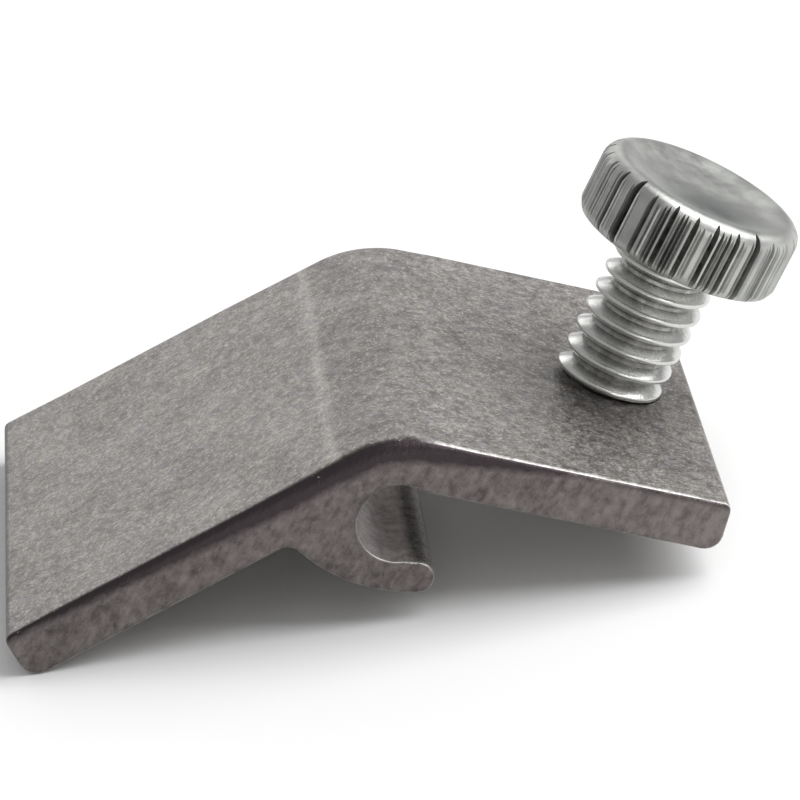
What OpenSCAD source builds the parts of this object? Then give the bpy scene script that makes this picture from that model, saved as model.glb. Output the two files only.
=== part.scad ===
// Hook clamp for the slot of a mast: one bent plate with a hook under its bend,
// and one knurled thumb screw that leans outwards through the right arm.
// Millimetres, +Z up. The origin is the centre of the hook's round groove, at mid width.
// X runs along the object, and Y along the groove, which is also the way the plate is extruded.

/* [Plate] */
// Thickness of the plate
plate_t = 3; // [2.5:0.1:3.5]
// Width of the plate, along the groove
plate_w = 28.5; // [20:0.5:40]
// Slope of each arm below the horizontal, in degrees
arm_slope = 21.5; // [18:0.5:25]
// Length of the left arm's top face, from the point where the two top faces would meet
left_arm = 24.5; // [20:0.5:30]
// Length of the right arm's top face, from the same point
right_arm = 19.5; // [18.5:0.5:26]
// Outer radius of the bend
bend_r = 6.5; // [5.5:0.1:7.5]
// Rounding of each arm's upper end corner
upper_corner_r = 0.5; // [0.2:0.1:0.8]
// Rounding of each arm's lower end corner
lower_corner_r = 1; // [0.5:0.1:1.4]

/* [Hook] */
// Radius of the round groove inside the hook
groove_r = 2.3; // [2:0.1:2.4]
// How far past the groove's centre the two top faces would meet
apex_x = 0.28; // [0:0.05:0.5]
// Height of that point above the groove's centre
apex_z = 5.4; // [5.3:0.05:5.6]
// Radius of the hook's outer face
hook_r = 9.3; // [9:0.1:9.6]
// How far past the groove's centre the centre of that face lies
hook_centre_x = 1.65; // [1.4:0.05:1.9]
// Height of that centre above the groove's centre
hook_centre_z = 4.85; // [4.7:0.05:5]
// Radius of the rounded lip
lip_r = 0.95; // [0.7:0.05:1]
// How far the lip reaches past the groove's centre
lip_reach = 1.58; // [1.2:0.05:2]
// Radius of the fillet between the hook and the left arm
fillet_r = 0.8; // [0.4:0.1:1.2]

/* [Thumb screw] */
// Outer diameter of the thread, a 1/4-20
thread_d = 6.35; // [6:0.05:6.5]
// Radial play between the screw and its hole
thread_play = 0.06; // [0.03:0.01:0.1]
// How far along the right arm's top face the screw stands
screw_at = 14; // [12:0.5:15]
// Outward lean of the screw from square to its arm, in degrees
screw_lean = 10; // [0:1:12]
// Length of the screw below its head, a 1/2 inch
shank_l = 12.7; // [11:0.1:14]
// Height of the head's underside above the plate, along the screw
head_gap = 8.9; // [8.8:0.1:9.5]
// Diameter of the plain point at the screw's lower end, under the thread's root diameter
point_d = 4.6; // [4:0.1:4.7]
// Length of the plain point
point_l = 1.5; // [1:0.1:2]
// Chamfer of the point
point_chamfer = 0.4; // [0.2:0.1:0.8]
// Chamfer of the thread's lower end
thread_chamfer = 0.8; // [0.4:0.1:1]

/* [Knurled head] */
// Diameter of the head over the knurls
head_d = 12.3; // [11:0.1:13.5]
// Height of the head
head_h = 4.2; // [3.5:0.1:5]
// Chamfer of the head's rims
rim_chamfer = 0.5; // [0.3:0.1:0.7]
// Depth of the dish in the head's top face
dish_depth = 0.3; // [0.1:0.1:0.5]
// Number of knurl grooves
knurl_count = 28; // [20:1:36]
// Depth of a knurl groove
knurl_depth = 0.4; // [0.2:0.1:0.5]

/* [Hidden] */
$fn = 64;

// Where the two top faces would meet, and the centre of the hook's outer face, in X and Z.
apex = [apex_x, apex_z];
hook_centre = [hook_centre_x, hook_centre_z];
// How far from the apex the bend's outer arc meets the top faces.
bend_reach = bend_r * tan(arm_slope);
// Centre of the bend's arcs.
bend_centre = apex - [0, bend_r / cos(arm_slope)];
// A little extra that makes joined shapes overlap and cuts run clear of the faces.
over = 0.1;
hair = 0.02;

// Centre of the lip's round end: it touches the hook's outer face from inside.
lip_centre = let (x = lip_reach - lip_r, dx = hook_centre[0] - x)
    [x, hook_centre[1] - sqrt(pow(hook_r - lip_r, 2) - dx * dx)];

// The fillet circle touches the left arm's underside and the hook's outer face.
arm_dir = [cos(arm_slope), sin(arm_slope)];
arm_down = [sin(arm_slope), -cos(arm_slope)];
fillet_start = apex + arm_down * (plate_t + fillet_r);
fillet_centre = let (q = fillet_start - hook_centre, b = q * arm_dir, c = q * q - pow(hook_r + fillet_r, 2))
    fillet_start + arm_dir * (-b - sqrt(b * b - c));

// Where the screw's axis crosses the top face, and how far it leans from vertical.
screw_foot = [apex[0] + screw_at * cos(arm_slope), 0, apex[1] - screw_at * sin(arm_slope)];
screw_tilt = arm_slope + screw_lean;
// Height of the screw's lower end along its axis; below the top face it is negative.
point_z = head_gap - shank_l;
// Where the thread begins above the point, and its length up to the head.
thread_z = point_z + point_l;
thread_l = shank_l - point_l;
// Length of the cutter for the screw's hole, enough to leave both faces of the plate.
hole_l = 4 * plate_t;
// Radius of the dish in the head's top face.
dish_r = head_d / 2 - 2 * rim_chamfer;

// What a rounded corner takes off a square one whose edges run along +X and +Y.
module corner_waste(r) {
    difference() {
        translate([-over, -over]) square(r + over);
        translate([r, r]) circle(r);
    }
}

// One arm in its own frame: the top face lies along +X from the apex and the plate below it.
module arm_outline(length) {
    difference() {
        translate([bend_reach - over, -plate_t]) square([length - bend_reach + over, plate_t]);
        translate([length, 0]) rotate(180) corner_waste(upper_corner_r);
        translate([length, -plate_t]) rotate(90) corner_waste(lower_corner_r);
    }
}

// The bend: a ring's sector between the two arms.
module bend_outline() {
    reach = 2 * bend_r;
    translate(bend_centre) intersection() {
        difference() {
            circle(bend_r);
            circle(bend_r - plate_t);
        }
        polygon([[0, 0], reach * [sin(arm_slope), cos(arm_slope)], reach * [-sin(arm_slope), cos(arm_slope)]]);
    }
}

// The hook's solid root and lip, before the groove is cut.
module hook_outline() {
    root_x = fillet_centre[0];
    intersection() {
        translate(hook_centre) circle(hook_r);
        polygon([
            [root_x, apex[1] - plate_t + (root_x - apex[0]) * tan(arm_slope)],
            [0, apex[1] - plate_t / 2],
            [0, -groove_r],
            [lip_centre[0], lip_centre[1] + lip_r],
            [lip_centre[0], hook_centre[1] - hook_r - over],
            [root_x, hook_centre[1] - hook_r - over]
        ]);
    }
    translate(lip_centre) circle(lip_r);
}

// Fills the corner between the left arm's underside and the hook. The cut is a hair larger than
// the circle that just touches both faces, so that it crosses each of them at a clean edge.
module fillet_outline() {
    to_hook = hook_centre - fillet_centre;
    deep = fillet_r + plate_t / 3;
    difference() {
        polygon([fillet_centre, fillet_centre - arm_down * deep, fillet_centre + to_hook * deep / norm(to_hook)]);
        translate(fillet_centre) circle(fillet_r + hair);
    }
}

// Runs an outline, drawn in X and Z, across the plate's whole width.
module across_width() {
    rotate([90, 0, 0]) linear_extrude(plate_w, center = true) children();
}

// Puts its children on the screw's axis, with their z = 0 where it crosses the plate's top face.
module on_screw_axis() {
    translate(screw_foot) rotate([0, screw_tilt, 0]) children();
}

// The bent plate, its hook and the two round cuts.
module clamp_plate() {
    color([0.55, 0.54, 0.53]) difference() {
        union() {
            across_width() translate(apex) rotate(-arm_slope) arm_outline(right_arm);
            across_width() translate(apex) mirror([1, 0]) rotate(-arm_slope) arm_outline(left_arm);
            across_width() bend_outline();
            across_width() hook_outline();
            across_width() fillet_outline();
        }
        rotate([90, 0, 0]) cylinder(h = plate_w + 2 * over, r = groove_r, center = true);
        on_screw_axis() cylinder(h = hole_l, r = thread_d / 2 + thread_play, center = true);
    }
}

// Half of the head's side view, with chamfered rims and a shallow dished top.
module head_profile() {
    r = head_d / 2;
    polygon([
        [0, 0],
        [r - rim_chamfer, 0],
        [r, rim_chamfer],
        [r, head_h - rim_chamfer],
        [r - rim_chamfer, head_h],
        [dish_r, head_h],
        [0, head_h - dish_depth]
    ]);
}

// The straight knurl grooves around the head.
module knurl_grooves() {
    for (i = [0 : knurl_count - 1])
        rotate(i * 360 / knurl_count)
            translate([head_d / 2, 0, -over])
                linear_extrude(head_h + 2 * over)
                    polygon([[-knurl_depth, 0], [over, -knurl_depth], [over, knurl_depth]]);
}

// The screw's head and threaded length. The thread is drawn as a cylinder of its outer diameter.
module thumb_screw() {
    color([0.78, 0.78, 0.77]) on_screw_axis() {
        translate([0, 0, thread_z]) cylinder(h = thread_chamfer, d1 = point_d, d2 = thread_d);
        translate([0, 0, thread_z + thread_chamfer]) cylinder(h = thread_l - thread_chamfer + over, d = thread_d);
        translate([0, 0, head_gap]) difference() {
            rotate_extrude() head_profile();
            knurl_grooves();
        }
    }
}

// The screw's plain, chamfered point, which bears on the mast.
module screw_point() {
    color([0.7, 0.7, 0.7]) on_screw_axis() translate([0, 0, point_z]) {
        cylinder(h = point_chamfer, d1 = point_d - 2 * point_chamfer, d2 = point_d);
        translate([0, 0, point_chamfer]) cylinder(h = point_l - point_chamfer, d = point_d);
    }
}

clamp_plate();
thumb_screw();
screw_point();
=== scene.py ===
# %% [markdown]
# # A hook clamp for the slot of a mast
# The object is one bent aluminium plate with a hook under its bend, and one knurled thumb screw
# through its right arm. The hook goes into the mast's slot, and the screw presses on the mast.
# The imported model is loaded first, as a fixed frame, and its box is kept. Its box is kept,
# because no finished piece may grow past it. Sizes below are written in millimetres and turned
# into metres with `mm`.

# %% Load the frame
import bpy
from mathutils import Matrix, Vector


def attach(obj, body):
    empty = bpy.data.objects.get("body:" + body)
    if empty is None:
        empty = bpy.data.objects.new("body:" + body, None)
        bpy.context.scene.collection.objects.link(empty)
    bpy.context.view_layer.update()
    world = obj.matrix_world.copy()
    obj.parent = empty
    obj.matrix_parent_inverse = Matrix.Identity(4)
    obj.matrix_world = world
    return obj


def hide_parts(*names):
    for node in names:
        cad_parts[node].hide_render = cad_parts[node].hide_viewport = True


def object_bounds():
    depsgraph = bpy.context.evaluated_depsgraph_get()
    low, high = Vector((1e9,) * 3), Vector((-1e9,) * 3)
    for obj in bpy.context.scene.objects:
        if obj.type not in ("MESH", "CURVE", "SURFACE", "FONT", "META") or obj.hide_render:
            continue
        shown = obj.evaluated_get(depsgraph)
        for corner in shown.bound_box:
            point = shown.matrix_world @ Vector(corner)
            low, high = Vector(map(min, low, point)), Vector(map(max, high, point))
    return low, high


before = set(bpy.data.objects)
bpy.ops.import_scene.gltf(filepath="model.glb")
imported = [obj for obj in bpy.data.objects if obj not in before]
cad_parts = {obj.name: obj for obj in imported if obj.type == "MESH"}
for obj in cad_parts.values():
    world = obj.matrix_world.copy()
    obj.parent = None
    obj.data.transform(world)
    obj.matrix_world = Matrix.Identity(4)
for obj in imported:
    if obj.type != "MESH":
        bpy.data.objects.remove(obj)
cad_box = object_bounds()

# %% Tools and units
import math
import random
import bmesh
import bpy
from mathutils import Quaternion, Vector
mm = 0.001
scene = bpy.context.scene
print("the model's box in mm:", [[round(c / mm, 2) for c in corner] for corner in cad_box])

# %% [markdown]
# ## The camera
# The object is small, so it is seen from about a hand's length away with a long lens, which
# keeps its edges almost parallel. The camera stands in front of the object, looks down on it
# at about a quarter of a right angle and is rolled a little, so that the right side drops.
# A distance, two angles and a roll say this more plainly than a matrix of numbers.

# %% Camera
look_at = Vector((1.31, 0.0, 0.88)) * mm
distance = 261.9 * mm
turn = math.radians(1.64)
down = math.radians(24.65)
roll = math.radians(7.34)
forward = Vector((math.sin(turn) * math.cos(down), math.cos(turn) * math.cos(down), -math.sin(down)))
camera_data = bpy.data.cameras.new("camera")
camera_data.lens = 204.35
camera_data.clip_start = 10 * mm
camera = bpy.data.objects.new("camera", camera_data)
scene.collection.objects.link(camera)
camera.location = look_at - forward * distance
camera.rotation_mode = "QUATERNION"
camera.rotation_quaternion = forward.to_track_quat("-Z", "Y") @ Quaternion((0, 0, 1), -roll)
scene.camera = camera
print("camera at", [round(c / mm, 1) for c in camera.location], "mm")

# %% [markdown]
# ## Small helpers
# An operator acts on everything that is selected. These helpers deselect first, and then
# select vertices, edges or faces by a test on their place, which is what a hand would click.

# %% Selection helpers
def in_edit_mode(piece):
    bpy.ops.object.mode_set(mode="OBJECT")
    bpy.ops.object.select_all(action="DESELECT")
    piece.select_set(True)
    bpy.context.view_layer.objects.active = piece
    bpy.ops.object.mode_set(mode="EDIT")


def pick(piece, kind, test):
    """Selects only the verts, edges or faces whose middle passes the test. Returns how many."""
    bpy.ops.mesh.select_mode(type=kind)
    bpy.ops.mesh.select_all(action="DESELECT")
    mesh = bmesh.from_edit_mesh(piece.data)
    found = 0
    for part in {"VERT": mesh.verts, "EDGE": mesh.edges, "FACE": mesh.faces}[kind]:
        corners = [part.co] if kind == "VERT" else [v.co for v in part.verts]
        if test(part, corners):
            part.select_set(True)
            found += 1
    mesh.select_flush_mode()
    bmesh.update_edit_mesh(piece.data)
    return found


def tidy_mesh(piece, apart=0.0005 * mm):
    """Merges doubles and turns every face outwards, then leaves edit mode."""
    in_edit_mode(piece)
    bpy.ops.mesh.select_all(action="SELECT")
    bpy.ops.mesh.remove_doubles(threshold=apart)
    bpy.ops.mesh.normals_make_consistent(inside=False)
    bpy.ops.object.mode_set(mode="OBJECT")


def open_edges(piece):
    mesh = bmesh.new()
    mesh.from_mesh(piece.data)
    found = sum(not edge.is_manifold for edge in mesh.edges)
    mesh.free()
    return found


def combine(piece, tool, how):
    """Adds, cuts or keeps the overlap with another mesh, which is then removed.

    The Manifold solver takes closed meshes and gives a closed one. It was chosen because it
    gives the same mesh on every run. The Exact solver gave a slightly different screw each time.
    """
    step = piece.modifiers.new(how, "BOOLEAN")
    step.operation = how
    step.solver = "MANIFOLD"
    step.object = tool
    bpy.context.view_layer.objects.active = piece
    bpy.ops.object.modifier_apply(modifier=step.name)
    # This solver leaves an empty material slot. The faces would use it instead of the finish.
    piece.data.materials.clear()
    bpy.data.objects.remove(tool, do_unlink=True)
    print(piece.name, how, "->", len(piece.data.vertices), "vertices,", open_edges(piece), "open edges")


# %% [markdown]
# ## Drawing an outline
# The plate and its hook are one aluminium bar, pressed through a die and sawn to width, so
# one outline gives the whole section. It could be joined from boxes and cylinders, but then
# every joint line would need cleaning. Here one vertex is pulled along straight lines and
# spun round the arcs, as a pencil would go, and the closed line is filled and extruded.

# %% A pencil made of one vertex
def start_at(name, x, z):
    """A new mesh of one selected vertex."""
    if bpy.context.mode != "OBJECT":
        bpy.ops.object.mode_set(mode="OBJECT")
    bpy.ops.object.select_all(action="DESELECT")
    bpy.ops.mesh.primitive_plane_add(size=mm, location=(0, 0, 0))
    piece = bpy.context.object
    piece.name = name
    in_edit_mode(piece)
    bpy.ops.mesh.select_mode(type="VERT")
    bpy.ops.mesh.select_all(action="SELECT")
    bpy.ops.mesh.merge(type="CENTER")
    bpy.ops.transform.translate(value=(x * mm, 0, z * mm))
    return piece


def pencil_place(piece):
    mesh = bmesh.from_edit_mesh(piece.data)
    tip = [v for v in mesh.verts if v.select][0]
    return Vector((tip.co.x, tip.co.z)) / mm


def line_to(piece, point):
    step = Vector(point) - pencil_place(piece)
    bpy.ops.mesh.extrude_region_move(TRANSFORM_OT_translate={"value": (step.x * mm, 0, step.y * mm)})


def arc_about(piece, centre, degrees, steps):
    """Positive degrees run against the clock, seen from the front."""
    middle = (centre[0] * mm, 0, centre[1] * mm)
    bpy.ops.mesh.spin(steps=steps, angle=math.radians(degrees), center=middle, axis=(0, 1, 0))


# %% [markdown]
# ## The plate's sizes
# Both arms slope down from a point above the bend, where their top faces would meet. The
# hook's outer face, the groove, the lip and the fillet are circles. The fillet touches the
# left arm and the hook's outer face, so its centre is worked out from the two.

# %% Sizes of the section, in the plane of X and Z
thick = 3.0
width = 28.5
slope = math.radians(21.5)
apex = Vector((0.28, 5.40))
right_along = Vector((math.cos(slope), -math.sin(slope)))
right_up = Vector((math.sin(slope), math.cos(slope)))
left_along = Vector((-math.cos(slope), -math.sin(slope)))
left_up = Vector((-math.sin(slope), math.cos(slope)))
right_length = 19.5
left_length = 24.5
bend_r = 6.5
bend_start = bend_r * math.tan(slope)
bend_centre = apex - Vector((0, bend_r / math.cos(slope)))
top_corner = 0.5
low_corner = 1.0
groove_r = 2.3
hook_r = 9.3
hook_centre = Vector((1.65, 4.85))
lip_r = 0.95
lip_x = 1.58 - lip_r
lip_drop = math.sqrt((hook_r - lip_r) ** 2 - (hook_centre.x - lip_x) ** 2)
lip_centre = Vector((lip_x, hook_centre.y - lip_drop))
fillet_r = 0.8
on_line = apex - left_up * (thick + fillet_r)
to_hook = on_line - hook_centre
half = to_hook.dot(left_along)
reach = -half + math.sqrt(half * half - to_hook.length_squared + (hook_r + fillet_r) ** 2)
fillet_centre = on_line + left_along * reach
print("fillet centre", [round(c, 3) for c in fillet_centre], "lip centre", [round(c, 3) for c in lip_centre])

# %% Where the groove breaks through the bend's inner face
inner_r = bend_r - thick
gap = bend_centre.length
along = (groove_r**2 - inner_r**2 + gap**2) / (2 * gap)
aside = math.sqrt(groove_r**2 - along**2)
towards = bend_centre.normalized()
mouth = towards * along + Vector((-towards.y, towards.x)) * aside
print("groove's mouth at", [round(c, 3) for c in mouth])


def angle_of(vector):
    return math.degrees(math.atan2(vector.y, vector.x))


# %% Draw the section
# The edge's rounding changes over a few short stretches, so the lines have extra points there.
right_step = 0.6
left_end_step = 0.7
left_bend_step = 0.8
plate = start_at("bent_plate", *(apex + right_along * bend_start))
for step in range(1, 5):
    line_to(plate, apex + right_along * (bend_start + right_step * step))
for step in range(4, -1, -1):
    line_to(plate, apex + right_along * (right_length - top_corner - right_step * step))
arc_about(plate, apex + right_along * (right_length - top_corner) - right_up * top_corner, -90, 4)
line_to(plate, apex + right_along * right_length - right_up * (thick - low_corner))
arc_about(plate, apex + right_along * (right_length - low_corner) - right_up * (thick - low_corner), -90, 6)
line_to(plate, apex + right_along * (bend_start + 0.1) - right_up * thick)
line_to(plate, mouth)
arc_about(plate, (0, 0), 270 - angle_of(mouth), 44)
line_to(plate, lip_centre + Vector((0, lip_r)))
lip_end = angle_of(lip_centre - hook_centre)
arc_about(plate, lip_centre, lip_end - 90, 16)
hook_end = angle_of(fillet_centre - hook_centre)
arc_about(plate, hook_centre, hook_end - lip_end, 22)
fillet_turn = angle_of(left_up) - (hook_end + 180)
arc_about(plate, fillet_centre, fillet_turn % 360, 6)
line_to(plate, apex + left_along * (left_length - low_corner) - left_up * thick)
arc_about(plate, apex + left_along * (left_length - low_corner) - left_up * (thick - low_corner), -90, 6)
line_to(plate, apex + left_along * left_length - left_up * top_corner)
arc_about(plate, apex + left_along * (left_length - top_corner) - left_up * top_corner, -90, 4)
for step in range(1, 6):
    line_to(plate, apex + left_along * (left_length - top_corner - left_end_step * step))
for step in range(8, 0, -1):
    line_to(plate, apex + left_along * (bend_start + left_bend_step * step))
line_to(plate, apex + left_along * bend_start)
arc_about(plate, bend_centre, -2 * math.degrees(slope), 24)
bpy.ops.mesh.select_all(action="SELECT")
bpy.ops.mesh.remove_doubles(threshold=0.001 * mm)
print("section drawn with", len(bmesh.from_edit_mesh(plate.data).verts), "points")

# %% [markdown]
# ## From section to bar
# The section is filled, moved to the front and pulled back through the width. Bending drags
# the outer skin inwards at the two sawn faces, so the upper edge is rounded widely over the
# bend, less on the left arm and least on the right one. Elsewhere tumbling has only broken
# the edge. One Bevel modifier does all of it, because each edge carries its own share of the
# modifier's width, and the shares change in small steps.

# %% Fill and extrude
bpy.ops.mesh.edge_face_add()
bpy.ops.transform.translate(value=(0, -width / 2 * mm, 0))
bpy.ops.mesh.extrude_region_move(TRANSFORM_OT_translate={"value": (0, width * mm, 0)})
bpy.ops.mesh.select_all(action="SELECT")
bpy.ops.mesh.normals_make_consistent(inside=False)
print("bar pulled through", width, "mm")

# %% How wide each edge is rounded
full_round = 1.0
least_share = 0.2
right_share = 0.1
right_bend_share = 0.6
left_share = 0.3
left_bend_share = 0.4


def below_top(spot):
    """Depth of a point under the plate's upper surface."""
    out = spot - bend_centre
    if abs(math.atan2(out.x, out.y)) < slope:
        return bend_r - out.length
    up = right_up if spot.x > apex.x else left_up
    return -(spot - apex).dot(up)


def between(value, low, high):
    return min(1, max(0, (value - low) / (high - low)))


def round_share(spot):
    """Share of the full rounding that an edge gets at this spot of the section."""
    if below_top(spot) > 0.02:
        return least_share
    gone = (spot - apex).length
    if spot.x < apex.x:
        arm = least_share + left_share * between(left_length - top_corner - gone, 0.2, 3.6)
        return arm + left_bend_share * between(bend_start + 6.4 - gone, 0, 6.4)
    arm = least_share + right_share * between(right_length - top_corner - gone, 0.2, 2.4)
    return arm + right_bend_share * between(bend_start + 2.4 - gone, 0, 4.0)


def middle_of(corners):
    centre = (corners[0] + corners[1]) / 2 / mm
    return Vector((centre.x, centre.z))


outline = [e for e in bmesh.from_edit_mesh(plate.data).edges if e.verts[0].co.y == e.verts[1].co.y]
shares = sorted({round(round_share(middle_of([v.co for v in edge.verts])), 2) for edge in outline})
for share in shares:
    pick(plate, "EDGE", lambda e, c: c[0].y == c[1].y and round(round_share(middle_of(c)), 2) == share)
    bpy.ops.transform.edge_bevelweight(value=share)
bpy.ops.object.mode_set(mode="OBJECT")
edges = plate.modifiers.new("edges", "BEVEL")
edges.limit_method = "WEIGHT"
edges.width = full_round * mm
edges.segments = 5
edges.use_clamp_overlap = False
bpy.ops.object.modifier_apply(modifier=edges.name)
print("edges rounded in", len(shares), "steps;", open_edges(plate), "open edges")

# %% [markdown]
# ## A thread
# The screw has a 1/4-20 thread, and the hole in the arm is tapped to match. Both are the same
# shape at two sizes: one tooth's side view, one pitch high, swept upwards along a helix.
# The Screw modifier does this sweep. Its ends are ragged, so both are cut flat and filled.

# %% Sizes of the screw, along its own axis from the arm's top face
pitch = 1.27
thread_r = 3.16
thread_depth = 0.69
crest_w = 0.22
flank_angle = math.radians(30)
tooth_round = 0.055
steps_a_turn = 40
head_gap = 8.9
shank = 12.7
point_l = 1.5
point_r = 2.3
head_r = 6.13
head_h = 4.2


def make_thread(name, outer_r, depth, crest, low, high):
    """A threaded rod on the Z axis from low to high. It rises against the clock: right-handed."""
    turns = math.ceil((high - low) / pitch) + 2
    base = math.floor(low / pitch - 1) * pitch
    root_r = outer_r - depth
    flank = depth * math.tan(flank_angle)
    root = pitch - 2 * flank - crest
    rod = start_at(name, root_r, base)
    line_to(rod, (root_r, base + root))
    line_to(rod, (outer_r, base + root + flank))
    line_to(rod, (outer_r, base + root + flank + crest))
    line_to(rod, (root_r, base + pitch))
    pick(rod, "VERT", lambda v, c: base + 0.01 < c[0].z / mm < base + pitch - 0.01)
    bpy.ops.mesh.bevel(offset=tooth_round * mm, segments=2, affect="VERTICES")
    bpy.ops.object.mode_set(mode="OBJECT")
    sweep = rod.modifiers.new("helix", "SCREW")
    sweep.axis = "Z"
    sweep.angle = math.tau * turns
    sweep.screw_offset = pitch * turns * mm
    sweep.steps = steps_a_turn * turns
    sweep.render_steps = steps_a_turn * turns
    sweep.use_normal_calculate = True
    bpy.ops.object.modifier_apply(modifier=sweep.name)
    tidy_mesh(rod, apart=0.002 * mm)
    bpy.ops.object.mode_set(mode="EDIT")
    for place, outwards in ((low, -1), (high, 1)):
        bpy.ops.mesh.select_all(action="SELECT")
        bpy.ops.mesh.bisect(
            plane_co=(0, 0, place * mm),
            plane_no=(0, 0, outwards),
            use_fill=True,
            clear_outer=True,
            threshold=0.0001 * mm,
        )
    bpy.ops.object.mode_set(mode="OBJECT")
    tidy_mesh(rod)
    print(name, len(rod.data.vertices), "vertices,", open_edges(rod), "open edges")
    return rod


# %% [markdown]
# ## The screw's threaded length
# Rolled threads begin with a cone, so that they start easily in the hole. A turned blank with
# that cone is made by spinning its side view, and only what lies in both it and the thread
# is kept. The blank is a little thicker than the thread, so that it cuts only the cone.

# %% Turn a blank
def turned(name, side_view, steps):
    """Spins a side view of (radius, height) points, from axis to axis, into a closed solid."""
    blank = start_at(name, *side_view[0])
    for point in side_view[1:]:
        line_to(blank, point)
    bpy.ops.mesh.select_all(action="SELECT")
    bpy.ops.mesh.spin(steps=steps, angle=math.tau, center=(0, 0, 0), axis=(0, 0, 1))
    tidy_mesh(blank)
    print(name, "turned:", len(blank.data.polygons), "faces,", open_edges(blank), "open edges")
    return blank


# %% Thread with its cone
thread_low = head_gap - shank + point_l
into_head = 0.6
screw = make_thread("thumb_screw_body", thread_r, thread_depth, crest_w, thread_low, head_gap + into_head)
blank_r = 4
cone_r = point_r - 0.95
cone_h = 1.65
cone = turned(
    "cone",
    [
        (0, thread_low - 1),
        (cone_r, thread_low - 1),
        (blank_r, thread_low + cone_h),
        (blank_r, head_gap + 1),
        (0, head_gap + 1),
    ],
    64,
)
combine(screw, cone, "INTERSECT")

# %% [markdown]
# ## The knurled head
# The head is turned first, with a round upper rim and a shallow dish, and then a hard wheel
# presses straight grooves into its side. The grooves run out where the rim curves inwards, so
# their upper ends make a scalloped line. Pressing is copied here: a grooved prism and the
# turned blank are laid over each other, and only what lies in both is kept. The wheel was
# worn, so no two grooves are alike. A fixed seed gives the same ones on every run.

# %% Turn the head
rim_r = 0.95
head_top = head_gap + head_h
rim_steps = 8
low_round = 0.55
dish = ((4.9, 0.04), (4.5, 0.13), (4.0, 0.27), (3.3, 0.41), (2.4, 0.51), (1.2, 0.57), (0, 0.59))
head_view = [(0, head_gap), (head_r - low_round, head_gap)]
head_view.append((head_r - 0.18, head_gap + 0.16))
head_view.append((head_r, head_gap + low_round))
for step in range(rim_steps + 1):
    lift = math.radians(90 * step / rim_steps)
    head_view.append((head_r - rim_r + rim_r * math.cos(lift), head_top - rim_r + rim_r * math.sin(lift)))
for radius, sink in dish:
    head_view.append((radius, head_top - sink))
head = turned("head", head_view, 112)
print("head", round(2 * head_r, 2), "mm across and", head_h, "mm high")

# %% Press the knurls
knurls = 28
per_knurl = 12
knurl_low = head_gap - 1
knurl_high = head_top + 1
chance = random.Random(7)
bpy.ops.object.select_all(action="DESELECT")
bpy.ops.mesh.primitive_cylinder_add(
    vertices=knurls * per_knurl,
    radius=(head_r + 0.01) * mm,
    depth=(knurl_high - knurl_low) * mm,
    location=(0, 0, (knurl_low + knurl_high) / 2 * mm),
)
wheel = bpy.context.object
wheel.name = "wheel"
bpy.ops.object.transform_apply(location=True)
in_edit_mode(wheel)


def press(column, depth):
    """Moves one upright line of the prism towards the axis."""
    middle = math.tau * column / (knurls * per_knurl)
    ray = Vector((math.sin(middle), math.cos(middle)))
    pick(wheel, "VERT", lambda v, c: (v.co.xy.normalized() - ray).length < 0.01)
    share = 1 - depth / head_r
    bpy.ops.transform.resize(value=(share, share, 1), center_override=(0, 0, 0))


deep_grooves = (2, 8, 12, 18, 25)
deep_cut = 0.78
ridge_chance = 0.93
for knurl in range(knurls):
    first = knurl * per_knurl
    deep = deep_cut if knurl in deep_grooves else chance.uniform(0.34, 0.52)
    side = chance.choice((-1, 1))
    press(first, deep)
    press(first + side, deep * chance.uniform(0.5, 0.95))
    if knurl in deep_grooves:
        press(first - side, deep * 0.7)
    for column in (3, 5, 7, 9):
        if chance.random() < ridge_chance:
            press(first + column, chance.uniform(0.08, 0.34))

bpy.ops.object.mode_set(mode="OBJECT")
print(knurls, "grooves pressed, with finer ridges between them")
combine(head, wheel, "INTERSECT")

# %% [markdown]
# ## Join head and thread
# On the real screw both are one piece of steel, so they are joined into one closed mesh. The
# screw is made upright, because its threads and grooves are easy to select there, and is
# leant over at the end. How deep each point lies in a groove is written on the mesh first,
# for the finish to read. A pressed groove has points only near its two ends, so rings are cut
# round the head to give it some in between.

# %% Join
lean = math.radians(31.5)
screw_along = 14
foot = Vector((apex.x + screw_along * math.cos(slope), 0, apex.y - screw_along * math.sin(slope)))
combine(screw, head, "UNION")
tidy_mesh(screw)
print("joined screw:", open_edges(screw), "open edges")

# %% Cut rings round the head
ring_heights = (0.7, 2.0, 3.2, 3.6, 3.9)
in_edit_mode(screw)
for height in ring_heights:
    bpy.ops.mesh.select_all(action="SELECT")
    cut = (0, 0, (head_gap + height) * mm)
    bpy.ops.mesh.bisect(plane_co=cut, plane_no=(0, 0, 1), threshold=0.0001 * mm)
bpy.ops.object.mode_set(mode="OBJECT")
print("screw has", len(screw.data.vertices), "vertices,", open_edges(screw), "open edges")

# %% Stand the screw on its axis
thread_hollow = 0.52
least_hollow = 0.15
full_hollow = 0.7


def stand_on_axis(piece):
    """Turns a piece made on the Z axis onto the screw's leaning axis, and applies the turn."""
    bpy.ops.object.select_all(action="DESELECT")
    piece.select_set(True)
    bpy.context.view_layer.objects.active = piece
    piece.rotation_euler = (0, lean, 0)
    piece.location = foot * mm
    bpy.ops.object.transform_apply(location=True, rotation=True, scale=True)


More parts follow.
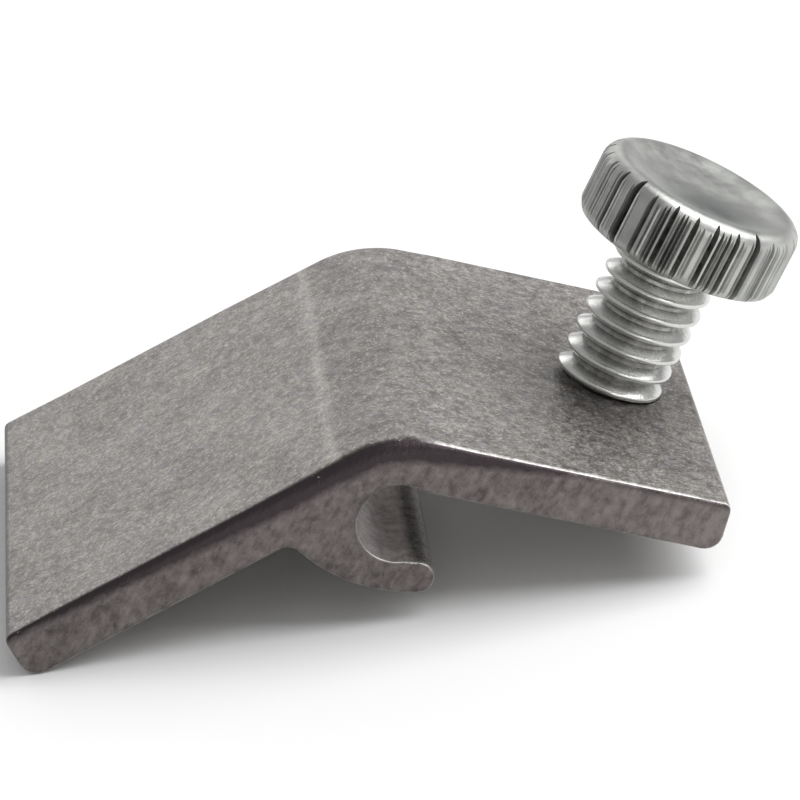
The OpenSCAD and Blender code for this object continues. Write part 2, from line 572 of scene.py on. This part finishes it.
def paint_hollows(piece):
    """Writes how deep each point lies in a thread or knurl groove: 0 on a crest, 1 at the root."""
    layer = piece.data.attributes.new("hollow", "FLOAT", "POINT")
    deepest = 0
    for place, vertex in zip(layer.data, piece.data.vertices):
        radius = math.hypot(vertex.co.x, vertex.co.y) / mm
        height = vertex.co.z / mm
        if height < head_gap - 0.01:
            place.value = thread_hollow * min(1, max(0, (thread_r - radius) / thread_depth))
        elif radius > head_r - rim_r and head_gap + 0.5 < height < head_top - 0.1:
            rise = max(0, height - head_top + rim_r)
            crest = head_r - rim_r + math.sqrt(rim_r**2 - rise**2)
            depth = min(1, max(0, (crest - radius) / full_hollow))
            place.value = least_hollow + (1 - least_hollow) * depth
        deepest = max(deepest, place.value)
    print(piece.name, "deepest hollow", round(deepest, 2))


screw.name = "thumb_screw_knurled"
paint_hollows(screw)
stand_on_axis(screw)
print("screw foot at", [round(c, 3) for c in foot], "leaning", round(math.degrees(lean), 1), "degrees")

# %% [markdown]
# ## The screw's point
# The lower end has no thread. It is a plain short peg with a broken edge, so that the thread
# isn't spoiled when the peg presses on the mast. It is turned from a side view too. On the
# real screw it is one with the thread. Here it rides on a body of its own, which travels but
# doesn't turn, so it ends a hair below the thread, and the two never rub.

# %% Point
low = head_gap - shank
hair = 0.01
point_top = low + point_l - hair
point_round = 0.42
point = turned(
    "thumb_screw_point",
    [
        (0, low),
        (point_r - point_round, low),
        (point_r - 0.12, low + 0.12),
        (point_r, low + point_round),
        (point_r, point_top),
        (0, point_top),
    ],
    64,
)
stand_on_axis(point)

# %% [markdown]
# ## The tapped hole
# A tap is a thread a hair larger than the screw's. It is modelled with the same helper and
# cut from the arm, so that crests and grooves mesh and the screw can turn at every pose.

# %% Tap the arm
tap_play = 0.05
tap_crest = crest_w + 0.06
tap_half = 6 * pitch
tap = make_thread("tap", thread_r + tap_play, thread_depth, tap_crest, -tap_half, tap_half)
stand_on_axis(tap)
combine(plate, tap, "DIFFERENCE")
print("play between thread and hole:", tap_play, "mm")

# %% [markdown]
# ## Smooth shading
# Curved faces are shaded smooth and real corners stay sharp, so a limit angle decides.

# %% Shade
def shade(piece, degrees):
    bpy.ops.object.select_all(action="DESELECT")
    piece.select_set(True)
    bpy.context.view_layer.objects.active = piece
    bpy.ops.object.shade_smooth_by_angle(angle=math.radians(degrees))


def even_normals(piece):
    """Lets large flat faces keep their own direction where they meet a rounded edge."""
    step = piece.modifiers.new("even", "WEIGHTED_NORMAL")
    step.keep_sharp = True
    step.weight = 100
    bpy.context.view_layer.objects.active = piece
    bpy.ops.object.modifier_apply(modifier=step.name)


for piece, degrees in ((plate, 35), (screw, 32), (point, 35)):
    shade(piece, degrees)
    even_normals(piece)
    print(piece.name, sum(len(face.vertices) - 2 for face in piece.data.polygons), "triangles")

# %% [markdown]
# ## Building a finish
# Both finishes are node trees on the object's own coordinates, so a pattern stays where it is
# when the piece moves. These helpers add one node each and join it to what feeds it.

# %% Node helpers
class Finish:
    """One material and the nodes that are added to it."""

    def __init__(self, name):
        self.material = bpy.data.materials.new(name)
        self.material.use_nodes = True
        self.tree = self.material.node_tree
        self.shader = self.tree.nodes["Principled BSDF"]
        self.place = self.add("ShaderNodeTexCoord").outputs["Object"]
        self.facing = self.tree.nodes["Texture Coordinate"].outputs["Normal"]

    def add(self, kind, **settings):
        node = self.tree.nodes.new(kind)
        for key, value in settings.items():
            setattr(node, key, value)
        return node

    def feed(self, socket, value):
        if isinstance(value, bpy.types.NodeSocket):
            self.tree.links.new(value, socket)
        else:
            socket.default_value = value

    def noise(self, size, detail=3, rough=0.55, stretch=(1, 1, 1), tilt=0, seed=0):
        """Cloudy noise whose blots are about size millimetres across. Tilt turns them about Y."""
        mapping = self.add("ShaderNodeMapping", vector_type="TEXTURE")
        self.feed(mapping.inputs["Vector"], self.place)
        mapping.inputs["Location"].default_value = (seed * 10 * mm, seed * 20 * mm, seed * 30 * mm)
        mapping.inputs["Rotation"].default_value = (0, math.radians(tilt), 0)
        mapping.inputs["Scale"].default_value = [size * mm * share for share in stretch]
        node = self.add("ShaderNodeTexNoise")
        self.feed(node.inputs["Vector"], mapping.outputs["Vector"])
        node.inputs["Scale"].default_value = 1
        node.inputs["Detail"].default_value = detail
        node.inputs["Roughness"].default_value = rough
        return node.outputs["Fac"]

    def ramp(self, value, low, high, to_low=0.0, to_high=1.0):
        node = self.add("ShaderNodeMapRange")
        self.feed(node.inputs["Value"], value)
        numbers = {"From Min": low, "From Max": high, "To Min": to_low, "To Max": to_high}
        for socket, number in numbers.items():
            node.inputs[socket].default_value = number
        return node.outputs["Result"]

    def sum(self, how, a, b):
        node = self.add("ShaderNodeMath", operation=how)
        self.feed(node.inputs[0], a)
        self.feed(node.inputs[1], b)
        return node.outputs[0]

    def mix(self, share, a, b):
        node = self.add("ShaderNodeMix", data_type="RGBA")
        self.feed(node.inputs["Factor"], share)
        self.feed(node.inputs[6], a)
        self.feed(node.inputs[7], b)
        return node.outputs[2]

    def times(self, a, b):
        node = self.add("ShaderNodeMix", data_type="RGBA", blend_type="MULTIPLY")
        node.inputs["Factor"].default_value = 1
        self.feed(node.inputs[6], a)
        self.feed(node.inputs[7], b)
        return node.outputs[2]

    def bump(self, height, depth, under=None):
        """Raises the surface by height times depth millimetres."""
        node = self.add("ShaderNodeBump")
        self.feed(node.inputs["Height"], height)
        node.inputs["Strength"].default_value = 1
        node.inputs["Distance"].default_value = depth * mm
        if under is not None:
            self.feed(node.inputs["Normal"], under)
        return node.outputs["Normal"]


# %% [markdown]
# ## Tumbled aluminium
# The plate was rolled about in a drum with stones, which leaves a matte grey skin with small
# dull blots, and fine dents. The two sawn faces are darker and keep the saw's strokes. The
# tumbled edges between carry painted highlights and glints. One material does all three: the
# surface's own direction along Y says how much of a sawn face each spot is. Painted pictures
# would do it too, but noise has no seams and stays sharp however close the view is.

# %% Aluminium colours
skin_dark = (0.125, 0.117, 0.114, 1)
skin_light = (0.49, 0.47, 0.452, 1)
fleck_dark = (0.14, 0.13, 0.126, 1)
fleck_light = (0.70, 0.69, 0.67, 1)
warm = (1.0, 0.985, 0.93, 1)
cool = (0.97, 0.96, 1.0, 1)
sawn_dark = (0.070, 0.056, 0.058, 1)
sawn_light = (0.215, 0.192, 0.185, 1)
# Painted light for the groove's wall in the hollow under the bend.
groove_light = (0.86, 0.80, 0.79, 1)
# Painted shade for the band along the upper edge and the left end's edge.
shade_band_dark = (0.052, 0.042, 0.045, 1)
# Painted highlight colour for the edges.
highlight_bright = (0.66, 0.645, 0.63, 1)
print("skin runs from", skin_dark[:3], "to", skin_light[:3])

# %% Aluminium material
aluminium = Finish("tumbled_aluminium")
sideways = aluminium.add("ShaderNodeSeparateXYZ")
aluminium.feed(sideways.inputs[0], aluminium.facing)
across = aluminium.sum("ABSOLUTE", sideways.outputs["Y"], 0.0)
sawn = aluminium.ramp(across, 0.25, 0.9)
clouds = aluminium.noise(4.0, detail=3)
mottle = aluminium.noise(0.62, detail=4, rough=0.72, seed=3)
grain = aluminium.noise(0.19, detail=3, rough=0.7, seed=5)
tones = aluminium.noise(0.4, detail=2, seed=15)
strokes = aluminium.noise(0.9, detail=4, rough=0.7, stretch=(0.55, 1, 1.3), tilt=35, seed=8)
print("aluminium's five noises are between 0.19 and 4 mm in size")

# %% [markdown]
# ## Marks on the plate, with painted shade and highlights
# The press left a pale line where the bend begins. A band of painted shade runs along the
# upper edge, widest at the bend, and the left end's edge is painted dark as shade too. The
# groove's wall is painted pale, as painted light in the hollow under the bend. The edges of
# the right arm and the hook carry painted highlights, and other edges a few painted glints.
# Every mark is a mask from a place or a distance.

# %% Where the press has marked the bend's start
where = aluminium.add("ShaderNodeSeparateXYZ")
aluminium.feed(where.inputs[0], aluminium.place)
press_x = -3.15
off_line = aluminium.sum("ABSOLUTE", aluminium.sum("SUBTRACT", where.outputs["X"], press_x * mm), 0.0)
press_mark = aluminium.ramp(off_line, 0.5 * mm, 0.1 * mm, 0.0, 0.32)
print("press mark at X", press_x, "mm")

# %% Painted shade along the upper edge, widest over the bend
def height_over(up):
    node = aluminium.add("ShaderNodeVectorMath", operation="DOT_PRODUCT")
    aluminium.feed(node.inputs[0], aluminium.place)
    node.inputs[1].default_value = (up.x, 0, up.y)
    return aluminium.sum("SUBTRACT", node.outputs["Value"], apex.dot(up) * mm)


above = aluminium.sum("SMOOTH_MAX", height_over(left_up), height_over(right_up))
above.node.inputs[2].default_value = 2.7 * mm
shade_band_at_bend = 1.1
on_left = aluminium.ramp(where.outputs["X"], -21 * mm, -6 * mm, 0.3 * mm, shade_band_at_bend * mm)
on_right = aluminium.ramp(where.outputs["X"], 2.5 * mm, 10 * mm, shade_band_at_bend * mm, 0.2 * mm)
shade_band_depth = aluminium.sum("ADD", aluminium.sum("MINIMUM", on_left, on_right), above)
wavy = aluminium.sum("ADD", shade_band_depth, aluminium.ramp(mottle, 0.3, 0.7, -0.16 * mm, 0.16 * mm))
in_shade_band = aluminium.ramp(wavy, -0.24 * mm, 0.14 * mm)
# roll is the mask of this painted shade, kept to the side of the edge.
roll = aluminium.sum("MULTIPLY", in_shade_band, aluminium.ramp(across, 0.15, 0.5))
print("dull roll up to", shade_band_at_bend, "mm deep at the bend")

# %% Painted shade on the left end's edge
left_way = aluminium.add("ShaderNodeVectorMath", operation="DOT_PRODUCT")
aluminium.feed(left_way.inputs[0], aluminium.place)
left_way.inputs[1].default_value = (left_along.x, 0, left_along.y)
left_edge = apex.dot(left_along) + left_length
# The left end's edge is painted dark: painted shade where the rounded edge turns away.
end_shade_from = (left_edge - 0.5) * mm
end_shade_full = (left_edge - 0.2) * mm
shaded_end = aluminium.ramp(left_way.outputs["Value"], end_shade_from, end_shade_full, 0.0, 0.65)
off_saw = aluminium.ramp(across, 0.9, 0.5)
# This painted shade joins the same mask, roll.
roll = aluminium.sum("MAXIMUM", roll, aluminium.sum("MULTIPLY", shaded_end, off_saw))
print("left end lies", round(left_edge, 2), "mm out along the left arm's direction")

# %% Painted highlights on the edges of the right arm and the hook, with a few painted glints elsewhere
rounding = aluminium.sum("MULTIPLY", aluminium.ramp(across, 0.12, 0.3), aluminium.ramp(across, 0.93, 0.75))
brow = aluminium.sum("MULTIPLY", aluminium.ramp(across, 0.16, 0.26), aluminium.ramp(across, 0.66, 0.52))
past_bend = aluminium.ramp(where.outputs["X"], 1.6 * mm, 3.4 * mm)
under_top = aluminium.ramp(above, -1.6 * mm, -2.2 * mm, 0.0, 0.75)
right_brow = aluminium.sum("MULTIPLY", brow, past_bend)
lower_edge = aluminium.sum("MULTIPLY", rounding, under_top)
# Painted highlights on the right arm's upper edge and on the hook's edges.
edge_highlights = aluminium.sum(
    "MULTIPLY", aluminium.sum("MAXIMUM", right_brow, lower_edge), aluminium.ramp(mottle, 0.3, 0.55, 0.3, 1.0)
)
# A few painted glints on the other edges.
glints = aluminium.sum("MULTIPLY", aluminium.ramp(mottle, 0.66, 0.70), aluminium.ramp(grain, 0.45, 0.55))
painted_highlights = aluminium.sum("MAXIMUM", edge_highlights, aluminium.sum("MULTIPLY", rounding, glints))
print("aluminium has", len(aluminium.tree.nodes), "nodes so far")

# %% Painted light on the groove's wall
from_axis = aluminium.add("ShaderNodeVectorMath", operation="MULTIPLY")
aluminium.feed(from_axis.inputs[0], aluminium.place)
from_axis.inputs[1].default_value = (1, 0, 1)
radius = aluminium.add("ShaderNodeVectorMath", operation="LENGTH")
aluminium.feed(radius.inputs[0], from_axis.outputs["Vector"])
groove_fade = (groove_r + 0.25) * mm
groove_edge = (groove_r + 0.05) * mm
in_groove = aluminium.ramp(radius.outputs["Value"], groove_fade, groove_edge, 0.0, 0.8)
print("pale wall within", round(groove_fade / mm, 2), "mm of the groove's axis")

# %% Colour, roughness and dents of the aluminium
skin_tone = aluminium.sum(
    "ADD", aluminium.ramp(clouds, 0.3, 0.7, -0.15, 0.15), aluminium.ramp(mottle, 0.32, 0.68, 0.1, 0.9)
)
skin_tone = aluminium.sum("ADD", skin_tone, press_mark)
# Painted shade on the arm round the screw's hole, where the screw shades it.
from_hole = aluminium.add("ShaderNodeVectorMath", operation="DISTANCE")
aluminium.feed(from_hole.inputs[0], aluminium.place)
from_hole.inputs[1].default_value = foot * mm
hole_shade = aluminium.ramp(from_hole.outputs["Value"], 9 * mm, 4 * mm, 0.0, 0.22)
off_bend = aluminium.sum("ABSOLUTE", where.outputs["X"], 0.0)
skin_tone = aluminium.sum("SUBTRACT", skin_tone, hole_shade)
# Painted shade: the skin is darker over the top of the bend.
skin_tone = aluminium.sum("SUBTRACT", skin_tone, aluminium.ramp(off_bend, 3.6 * mm, 2.0 * mm, 0.0, 0.14))
skin = aluminium.mix(skin_tone, skin_dark, skin_light)
skin = aluminium.mix(aluminium.ramp(grain, 0.52, 0.36, 0.0, 0.6), skin, fleck_dark)
skin = aluminium.mix(aluminium.ramp(grain, 0.56, 0.68, 0.0, 0.6), skin, fleck_light)
saw_tone = aluminium.sum(
    "ADD", aluminium.ramp(strokes, 0.35, 0.65, 0.0, 0.5), aluminium.ramp(mottle, 0.35, 0.65, 0.0, 0.5)
)
# Painted light: the sawn faces grow lighter towards the right end.
saw_tone = aluminium.sum("ADD", saw_tone, aluminium.ramp(where.outputs["X"], 5 * mm, 18 * mm, 0.0, 0.3))
saw_skin = aluminium.mix(saw_tone, sawn_dark, sawn_light)
tint = aluminium.mix(aluminium.ramp(tones, 0.4, 0.6), warm, cool)
skin = aluminium.times(skin, tint)
# Painted light: the groove's wall is made paler in the hollow under the bend.
pale = aluminium.sum("MULTIPLY", in_groove, aluminium.ramp(mottle, 0.3, 0.7, 0.4, 1.0))
skin = aluminium.mix(pale, skin, groove_light)
whole = aluminium.mix(sawn, skin, saw_skin)
# roll paints shade along the upper edge and on the left end's edge.
whole = aluminium.mix(roll, whole, shade_band_dark)
# Painted highlights and glints go on last.
aluminium.feed(aluminium.shader.inputs["Base Color"], aluminium.mix(painted_highlights, whole, highlight_bright))
roughness = aluminium.sum(
    "ADD", aluminium.ramp(mottle, 0.3, 0.7, 0.40, 0.54), aluminium.ramp(grain, 0.3, 0.7, -0.05, 0.05)
)
roughness = aluminium.sum("SUBTRACT", roughness, aluminium.sum("MULTIPLY", painted_highlights, 0.05))
aluminium.feed(aluminium.shader.inputs["Roughness"], roughness)
aluminium.shader.inputs["Metallic"].default_value = 0.92
dents = aluminium.bump(aluminium.noise(1.3, detail=3, seed=11), 0.06)
marks = aluminium.bump(aluminium.sum("MULTIPLY", strokes, sawn), 0.10, under=dents)
pits = aluminium.bump(mottle, 0.03, under=marks)
aluminium.feed(aluminium.shader.inputs["Normal"], aluminium.bump(grain, 0.014, under=pits))
plate.data.materials.append(aluminium.material)
print("aluminium has", len(aluminium.tree.nodes), "nodes")

# %% [markdown]
# ## Plated steel
# The screw is steel with a thin bright zinc plate: smooth and grey-green where it was turned.
# The roots of the thread and the knurls are darkened, as painted shade with some dirt.
# The depth painted on the mesh tells the material where those hollows are. The rolled thread
# is glossier than the turned head, and a dark patch of painted shade lies in the head's dish.

# %% Steel colours
turned_dark = (0.36, 0.365, 0.352, 1)
turned_light = (0.52, 0.53, 0.505, 1)
rolled_bright = (0.63, 0.635, 0.615, 1)
# Painted shade for the dark patch in the head's dish.
dish_shade_dark = (0.11, 0.12, 0.12, 1)
# Painted shade, with some dirt, in the roots of the thread and the knurls.
dirt_and_shade_dark = (0.038, 0.029, 0.026, 1)
print("turned steel runs from", turned_dark[:3], "to", turned_light[:3])

# %% Steel material
on_axis = Vector((math.sin(lean), 0, math.cos(lean)))
across_axis = Vector((math.cos(lean), 0, -math.sin(lean)))
# Centre of the painted shade in the head's dish.
dish_shade_centre = (foot + on_axis * (head_top - 0.4) + across_axis * 0.3 + Vector((0, -2.3, 0))) * mm
steel = Finish("plated_steel")
hollow = steel.add("ShaderNodeAttribute", attribute_name="hollow").outputs["Fac"]
film = steel.noise(2.5, detail=3, seed=2)
spots = steel.noise(0.5, detail=3, rough=0.65, seed=4)
along_axis = steel.add("ShaderNodeVectorMath", operation="DOT_PRODUCT")
steel.feed(along_axis.inputs[0], steel.place)
along_axis.inputs[1].default_value = on_axis
gap_height = (foot.dot(on_axis) + head_gap) * mm
on_thread = steel.ramp(along_axis.outputs["Value"], gap_height + 0.1 * mm, gap_height - 0.1 * mm)
bright = steel.mix(steel.ramp(film, 0.3, 0.7), turned_dark, turned_light)
bright = steel.mix(on_thread, bright, rolled_bright)
# A dark patch of painted shade in the head's dish, fading out over 4 mm.
from_dish_shade = steel.add("ShaderNodeVectorMath", operation="DISTANCE")
steel.feed(from_dish_shade.inputs[0], steel.place)
from_dish_shade.inputs[1].default_value = dish_shade_centre
near_dish_shade = steel.ramp(from_dish_shade.outputs["Value"], 4.0 * mm, 0.8 * mm)
dish_shade = steel.sum("MULTIPLY", near_dish_shade, steel.ramp(film, 0.3, 0.6, 0.6, 0.9))
bright = steel.mix(dish_shade, bright, dish_shade_dark)
# The roots of the thread and knurls are darkened: painted shade with some dirt, nearly black in the deepest
# grooves.
dirt_and_shade = steel.sum("MULTIPLY", steel.ramp(hollow, 0.12, 0.8), steel.ramp(spots, 0.36, 0.6, 0.45, 1.0))
dirt_and_shade = steel.sum("MAXIMUM", dirt_and_shade, steel.ramp(hollow, 0.82, 0.96))
steel.feed(steel.shader.inputs["Base Color"], steel.mix(dirt_and_shade, bright, dirt_and_shade_dark))
shine = steel.sum("ADD", steel.ramp(film, 0.3, 0.7, 0.36, 0.46), steel.ramp(spots, 0.3, 0.7, -0.04, 0.04))
shine = steel.sum("SUBTRACT", shine, steel.sum("MULTIPLY", on_thread, 0.17))
steel.feed(steel.shader.inputs["Roughness"], steel.sum("ADD", shine, steel.sum("MULTIPLY", dirt_and_shade, 0.2)))
steel.shader.inputs["Metallic"].default_value = 1
ripples = steel.bump(steel.noise(1.1, detail=2, seed=6), 0.02)
steel.feed(steel.shader.inputs["Normal"], steel.bump(spots, 0.014, under=ripples))
screw.data.materials.append(steel.material)
point.data.materials.append(steel.material)
print("steel has", len(steel.tree.nodes), "nodes")

# %% [markdown]
# ## What moves with what
# The imported model knows three bodies: the plate, the screw that turns, and its point, which
# only travels. Each finished piece rides on one of them, so the moving parts are never posed
# by hand. It also takes the place of its plain node, which stays for collision.

# %% Ride
for piece, body, node, slot in (
    (plate, "plate", "clamp_plate", "plate_aluminium"),
    (screw, "screw", "thumb_screw", "plated_steel"),
    (point, "point", "screw_point", "plated_steel"),
):
    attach(piece, body)
    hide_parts(node)
    print(piece.name, "rides on", body, "and replaces", node)

# %% [markdown]
# ## Floor
# The object lies on a pale matte floor, at the lowest point of the model at rest. The floor
# is large, so that its edge is never seen.

# %% Floor
bpy.ops.object.select_all(action="DESELECT")
bpy.ops.mesh.primitive_plane_add(size=3, location=(0, 0, cad_box[0][2]))
floor = bpy.context.object
floor.name = "floor"
paper = bpy.data.materials.new("pale_paper")
paper.use_nodes = True
paper_shader = paper.node_tree.nodes["Principled BSDF"]
paper_shader.inputs["Base Color"].default_value = (0.9, 0.9, 0.9, 1)
paper_shader.inputs["Roughness"].default_value = 0.9
floor.data.materials.append(paper)
print("floor at", round(cad_box[0][2] / mm, 2), "mm")

# %% [markdown]
# ## Light
# Metal shows what it reflects, so large soft boxes work better than small lamps. The key box
# stands high on the right, and the back box lights the object from behind and above. The
# front one is weak, and only opens up the shaded side. An even white world fills in the rest.
# The standard view keeps greys as they are.

# %% Light
world_power = 0.45
scene.view_settings.view_transform = "Standard"
world = bpy.data.worlds.new("studio")
scene.world = world
world.use_nodes = True
world.node_tree.nodes["Background"].inputs["Color"].default_value = (1, 1, 1, 1)
world.node_tree.nodes["Background"].inputs["Strength"].default_value = world_power


def softbox(name, place, size, power):
    data = bpy.data.lights.new(name, "AREA")
    data.shape = "RECTANGLE"
    data.size = size[0] * mm
    data.size_y = size[1] * mm
    data.energy = power
    lamp = bpy.data.objects.new(name, data)
    scene.collection.objects.link(lamp)
    lamp.location = Vector(place) * mm
    lamp.rotation_mode = "QUATERNION"
    lamp.rotation_quaternion = (-lamp.location).to_track_quat("-Z", "Y")
    print(name, "box:", size, "mm,", power, "watts")


softbox("key", (330, 0, 350), (460, 460), 2.8)
softbox("back", (-120, 800, 340), (900, 360), 1.2)
softbox("front", (200, -520, 60), (300, 160), 0.45)

# %% [markdown]
# ## Finish

# %% Finish
print("scene built")
